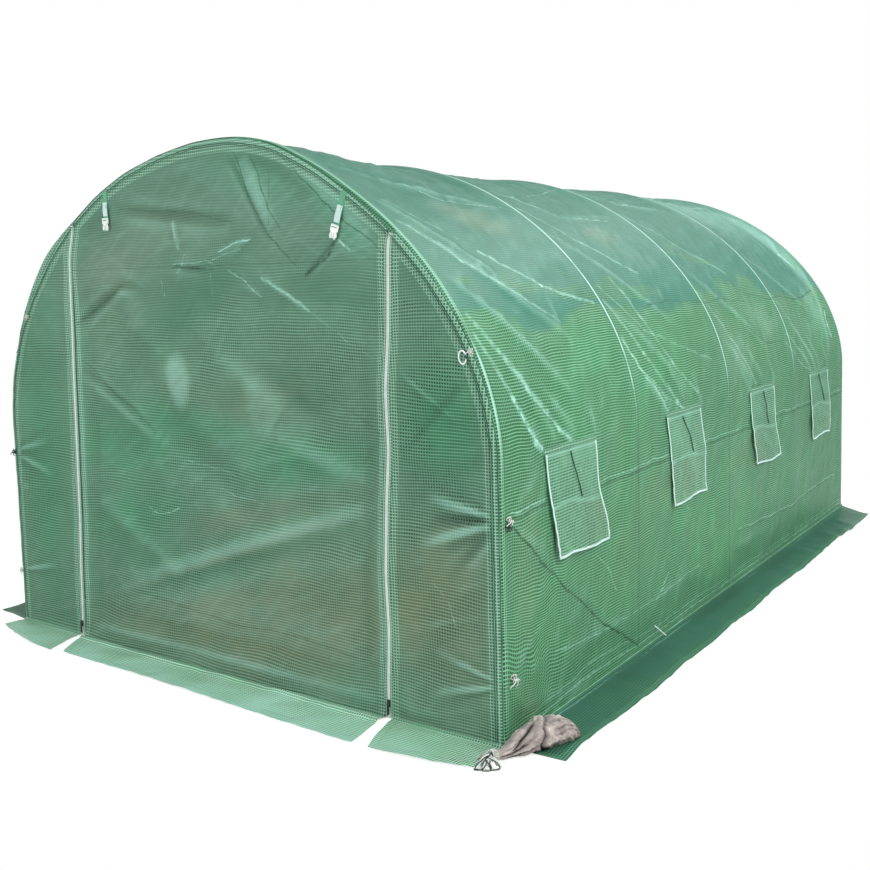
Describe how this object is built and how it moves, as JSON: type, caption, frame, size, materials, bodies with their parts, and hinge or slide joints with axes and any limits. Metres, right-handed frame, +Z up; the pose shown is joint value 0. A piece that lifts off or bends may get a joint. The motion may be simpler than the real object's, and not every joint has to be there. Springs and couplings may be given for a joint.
{
  "type": "polytunnel",
  "caption": "Walk-in garden polytunnel: tube hoops and rails under a green film cover with a ground skirt, a roll-up zipped door and netted side windows with flaps.",
  "frame": {"origin": "on the ground, at the centre of the outline that the skirts cover", "axes": "+Y along the tunnel from the door (at -Y) to the back, +Z up, +X to the right of someone who looks at the back from the door"},
  "size_m": [2.974, 4.4, 2],
  "materials": {
    "galvanised_tube": "zinc-coated, dull with faint spangle",
    "clamp_plastic": "moulded, satin",
    "cover_film": "translucent polyethylene film with a woven reinforcing grid",
    "gable_film": "translucent polyethylene film with a fine woven grid",
    "flap_film": "pale film over net, hemmed with tape",
    "zip_tape": "white woven tape with a moulded chain",
    "slider_metal": "dark enamel",
    "webbing": "woven green webbing",
    "buckle_plastic": "white moulded plastic",
    "bag_cloth": "creased plain-woven cloth",
    "tie_cord": "white cord"
  },
  "bodies": {
    "tunnel": {"arch_1": "galvanised_tube", "arch_2": "galvanised_tube", "arch_3": "galvanised_tube", "arch_4": "galvanised_tube", "arch_5": "galvanised_tube", "leg_left_1": "galvanised_tube", "leg_left_2": "galvanised_tube", "leg_left_3": "galvanised_tube", "leg_left_4": "galvanised_tube", "leg_left_5": "galvanised_tube", "leg_right_1": "galvanised_tube", "leg_right_2": "galvanised_tube", "leg_right_3": "galvanised_tube", "leg_right_4": "galvanised_tube", "leg_right_5": "galvanised_tube", "side_clamp_left_1": "clamp_plastic", "side_clamp_left_2": "clamp_plastic", "side_clamp_left_3": "clamp_plastic", "side_clamp_left_4": "clamp_plastic", "side_clamp_left_5": "clamp_plastic", "side_clamp_right_1": "clamp_plastic", "side_clamp_right_2": "clamp_plastic", "side_clamp_right_3": "clamp_plastic", "side_clamp_right_4": "clamp_plastic", "side_clamp_right_5": "clamp_plastic", "side_rail_left": "galvanised_tube", "side_rail_right": "galvanised_tube", "base_rail_left": "galvanised_tube", "base_rail_right": "galvanised_tube", "ridge_rail": "galvanised_tube", "brace_front_left": "galvanised_tube", "brace_front_right": "galvanised_tube", "brace_back_left": "galvanised_tube", "brace_back_right": "galvanised_tube", "cover_sheet": "cover_film", "back_panel": "gable_film", "front_panel_left": "gable_film", "front_panel_right": "gable_film", "gable_head": "gable_film", "zip_left": "zip_tape", "zip_right": "zip_tape", "ballast_bag": "bag_cloth", "ballast_tie": "tie_cord"},
    "door": {"door_panel": "gable_film"},
    "apron": {"door_apron": "gable_film"},
    "left_slider": {"zip_slider_left": "slider_metal"},
    "right_slider": {"zip_slider_right": "slider_metal"},
    "left_strap": {"strap_left": "webbing", "buckle_left": "buckle_plastic"},
    "right_strap": {"strap_right": "webbing", "buckle_right": "buckle_plastic"},
    "flap_left_1": {"window_flap_left_1": "flap_film"},
    "flap_left_2": {"window_flap_left_2": "flap_film"},
    "flap_left_3": {"window_flap_left_3": "flap_film"},
    "flap_left_4": {"window_flap_left_4": "flap_film"},
    "flap_right_1": {"window_flap_right_1": "flap_film"},
    "flap_right_2": {"window_flap_right_2": "flap_film"},
    "flap_right_3": {"window_flap_right_3": "flap_film"},
    "flap_right_4": {"window_flap_right_4": "flap_film"}
  },
  "joints": [
    {"name": "door_lift", "type": "slide", "parent": "tunnel", "child": "door", "axis": [0.035, 0, 0.9994], "range_m": [0, 1.4013], "deforming": ["door_panel"]},
    {"name": "apron_fold", "type": "hinge", "parent": "door", "child": "apron", "pos_m": [0, -2.004, 0.003], "axis": [1, 0, 0], "range_deg": [-90, 0]},
    {"name": "left_slider_run", "type": "slide", "parent": "tunnel", "child": "left_slider", "axis": [0.035, 0, 0.9994], "range_m": [0, 1.4013]},
    {"name": "right_slider_run", "type": "slide", "parent": "tunnel", "child": "right_slider", "axis": [0.035, 0, 0.9994], "range_m": [0, 1.4013]},
    {"name": "left_strap_swing", "type": "hinge", "parent": "tunnel", "child": "left_strap", "pos_m": [-0.548, -2.0048, 1.87017], "axis": [-1, 0, 0], "range_deg": [0, 100]},
    {"name": "right_strap_swing", "type": "hinge", "parent": "tunnel", "child": "right_strap", "pos_m": [0.7, -2.0048, 1.79157], "axis": [-1, 0, 0], "range_deg": [0, 100]},
    {"name": "flap_left_1_lift", "type": "hinge", "parent": "tunnel", "child": "flap_left_1", "pos_m": [-1.2899, -1.5, 0.9], "axis": [0, 1, 0], "range_deg": [0, 150]},
    {"name": "flap_left_2_lift", "type": "hinge", "parent": "tunnel", "child": "flap_left_2", "pos_m": [-1.2899, -0.5, 0.9], "axis": [0, 1, 0], "range_deg": [0, 150]},
    {"name": "flap_left_3_lift", "type": "hinge", "parent": "tunnel", "child": "flap_left_3", "pos_m": [-1.2899, 0.5, 0.9], "axis": [0, 1, 0], "range_deg": [0, 150]},
    {"name": "flap_left_4_lift", "type": "hinge", "parent": "tunnel", "child": "flap_left_4", "pos_m": [-1.2899, 1.5, 0.9], "axis": [0, 1, 0], "range_deg": [0, 150]},
    {"name": "flap_right_1_lift", "type": "hinge", "parent": "tunnel", "child": "flap_right_1", "pos_m": [1.2899, -1.5, 0.9], "axis": [0, -1, 0], "range_deg": [0, 150]},
    {"name": "flap_right_2_lift", "type": "hinge", "parent": "tunnel", "child": "flap_right_2", "pos_m": [1.2899, -0.5, 0.9], "axis": [0, -1, 0], "range_deg": [0, 150]},
    {"name": "flap_right_3_lift", "type": "hinge", "parent": "tunnel", "child": "flap_right_3", "pos_m": [1.2899, 0.5, 0.9], "axis": [0, -1, 0], "range_deg": [0, 150]},
    {"name": "flap_right_4_lift", "type": "hinge", "parent": "tunnel", "child": "flap_right_4", "pos_m": [1.2899, 1.5, 0.9], "axis": [0, -1, 0], "range_deg": [0, 150]}
  ],
  "couplings": [
    {"joint": "apron_fold", "follows": "door_lift", "rad_per_m": -1.1209},
    {"joint": "left_slider_run", "follows": "door_lift", "ratio": 1},
    {"joint": "right_slider_run", "follows": "door_lift", "ratio": 1}
  ]
}
